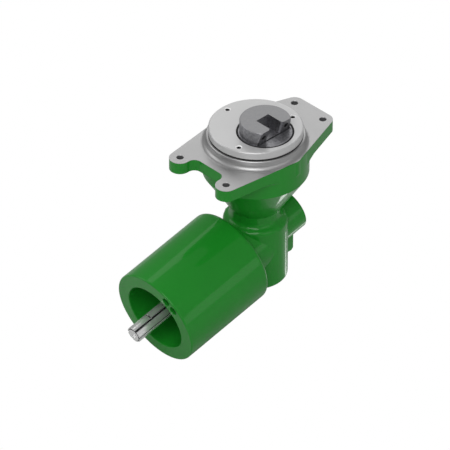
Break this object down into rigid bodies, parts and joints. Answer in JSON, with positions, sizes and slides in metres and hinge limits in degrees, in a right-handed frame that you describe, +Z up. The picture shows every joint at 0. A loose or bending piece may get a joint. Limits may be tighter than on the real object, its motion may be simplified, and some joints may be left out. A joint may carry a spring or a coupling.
{
  "type": "knife drive gearbox",
  "caption": "Right-angle knife drive gearbox: a splined input shaft in a mounting tube turns a disc whose offset planet head swings the knife straight to and fro.",
  "frame": {"origin": "centre of the collar's top rim, on the output axis", "axes": "+Z up along the output axis, +X along the knife's stroke, the input tube towards -Y sloping 12 degrees down"},
  "size_m": [0.175, 0.4157, 0.3728],
  "materials": {
    "green_casting": "gloss green paint on cast iron",
    "machined_steel": "turned satin steel",
    "dark_steel": "hardened dark steel",
    "shaft_steel": "bright machined steel",
    "gear_steel": "ground case-hardened steel",
    "seal_rubber": "matt black nitrile",
    "screw_steel": "black oxide",
    "spring_steel": "phosphated spring steel",
    "key_steel": "bright drawn",
    "plain_steel": "plain machined",
    "copper": "soft copper",
    "bearing_steel": "ground and polished",
    "cage_brass": "machined brass"
  },
  "bodies": {
    "housing": {"housing": "green_casting", "mounting_tube": "green_casting", "upper_bearing_outer_ring": "bearing_steel", "upper_bearing_retaining_ring": "spring_steel", "neck_bearing_outer_ring": "bearing_steel", "neck_bearing_retaining_ring": "spring_steel", "ring_gear": "gear_steel", "ring_gear_screws": "screw_steel", "carrier_seal": "seal_rubber", "input_bearing_outer_ring": "bearing_steel", "outer_spacer": "plain_steel", "rear_bearing_outer_ring": "bearing_steel", "rear_bearing_retaining_ring": "spring_steel", "rear_cap": "plain_steel", "seal_carrier": "plain_steel", "input_seal": "seal_rubber", "tube_screws": "screw_steel", "column_cap": "plain_steel", "cap_sealing_ring": "seal_rubber", "cap_retaining_ring": "spring_steel", "oil_plugs": "screw_steel", "plug_washers": "copper"},
    "carrier": {"carrier": "machined_steel", "upper_bearing_inner_ring": "bearing_steel", "neck_bearing_inner_ring": "bearing_steel", "planet_bearing_outer_ring": "bearing_steel", "planet_bearing_retaining_ring": "spring_steel", "needle_cup": "bearing_steel", "planet_seal": "seal_rubber", "bevel_gear": "gear_steel", "bevel_gear_key": "key_steel", "bevel_gear_ring": "spring_steel"},
    "planet": {"planet_shaft": "dark_steel", "planet_bearing_inner_ring": "bearing_steel", "planet_gear": "gear_steel", "planet_gear_key": "key_steel", "planet_gear_ring": "spring_steel"},
    "input": {"input_shaft": "shaft_steel", "bevel_pinion": "gear_steel", "bevel_pinion_key": "key_steel", "bevel_pinion_ring": "spring_steel", "input_bearing_inner_ring": "bearing_steel", "inner_spacer": "plain_steel", "rear_bearing_inner_ring": "bearing_steel", "tab_washer": "spring_steel", "lock_nut": "plain_steel"},
    "upper_bearing_set": {"upper_bearing_balls": "bearing_steel", "upper_bearing_cage": "cage_brass"},
    "neck_bearing_set": {"neck_bearing_balls": "bearing_steel", "neck_bearing_cage": "cage_brass"},
    "planet_bearing_set": {"planet_bearing_balls": "bearing_steel", "planet_bearing_cage": "cage_brass"},
    "needle_set": {"needles": "bearing_steel", "needle_cage": "cage_brass"},
    "input_bearing_set": {"input_bearing_balls": "bearing_steel", "input_bearing_cage": "cage_brass"},
    "rear_bearing_set": {"rear_bearing_balls": "bearing_steel", "rear_bearing_cage": "cage_brass"}
  },
  "joints": [
    {"name": "carrier_spin", "type": "hinge", "parent": "housing", "child": "carrier", "pos_m": [0, 0, 0], "axis": [0, 0, 1], "continuous": true},
    {"name": "planet_spin", "type": "hinge", "parent": "carrier", "child": "planet", "pos_m": [0.02125, 0, 0], "axis": [0, 0, 1], "continuous": true},
    {"name": "input_spin", "type": "hinge", "parent": "housing", "child": "input", "pos_m": [0, 0, -0.2045], "axis": [0, -0.9781, -0.2079], "continuous": true},
    {"name": "upper_bearing_roll", "type": "hinge", "parent": "housing", "child": "upper_bearing_set", "pos_m": [0, 0, -0.0415], "axis": [0, 0, 1], "continuous": true},
    {"name": "neck_bearing_roll", "type": "hinge", "parent": "housing", "child": "neck_bearing_set", "pos_m": [0, 0, -0.147], "axis": [0, 0, 1], "continuous": true},
    {"name": "planet_bearing_roll", "type": "hinge", "parent": "carrier", "child": "planet_bearing_set", "pos_m": [0.02125, 0, -0.022], "axis": [0, 0, 1], "continuous": true},
    {"name": "needle_roll", "type": "hinge", "parent": "carrier", "child": "needle_set", "pos_m": [0.02125, 0, -0.0855], "axis": [0, 0, 1], "continuous": true},
    {"name": "input_bearing_roll", "type": "hinge", "parent": "housing", "child": "input_bearing_set", "pos_m": [0, -0.07238, -0.21988], "axis": [0, -0.9781, -0.2079], "continuous": true},
    {"name": "rear_bearing_roll", "type": "hinge", "parent": "housing", "child": "rear_bearing_set", "pos_m": [0, 0.07043, -0.18953], "axis": [0, -0.9781, -0.2079], "continuous": true}
  ],
  "couplings": [
    {"joint": "planet_spin", "follows": "carrier_spin", "ratio": -2},
    {"joint": "input_spin", "follows": "carrier_spin", "ratio": -1.0556},
    {"joint": "upper_bearing_roll", "follows": "carrier_spin", "ratio": 0.464},
    {"joint": "neck_bearing_roll", "follows": "carrier_spin", "ratio": 0.42593},
    {"joint": "planet_bearing_roll", "follows": "carrier_spin", "ratio": -0.79439},
    {"joint": "needle_roll", "follows": "carrier_spin", "ratio": -0.88938},
    {"joint": "input_bearing_roll", "follows": "carrier_spin", "ratio": -0.42222},
    {"joint": "rear_bearing_roll", "follows": "carrier_spin", "ratio": -0.41878}
  ]
}
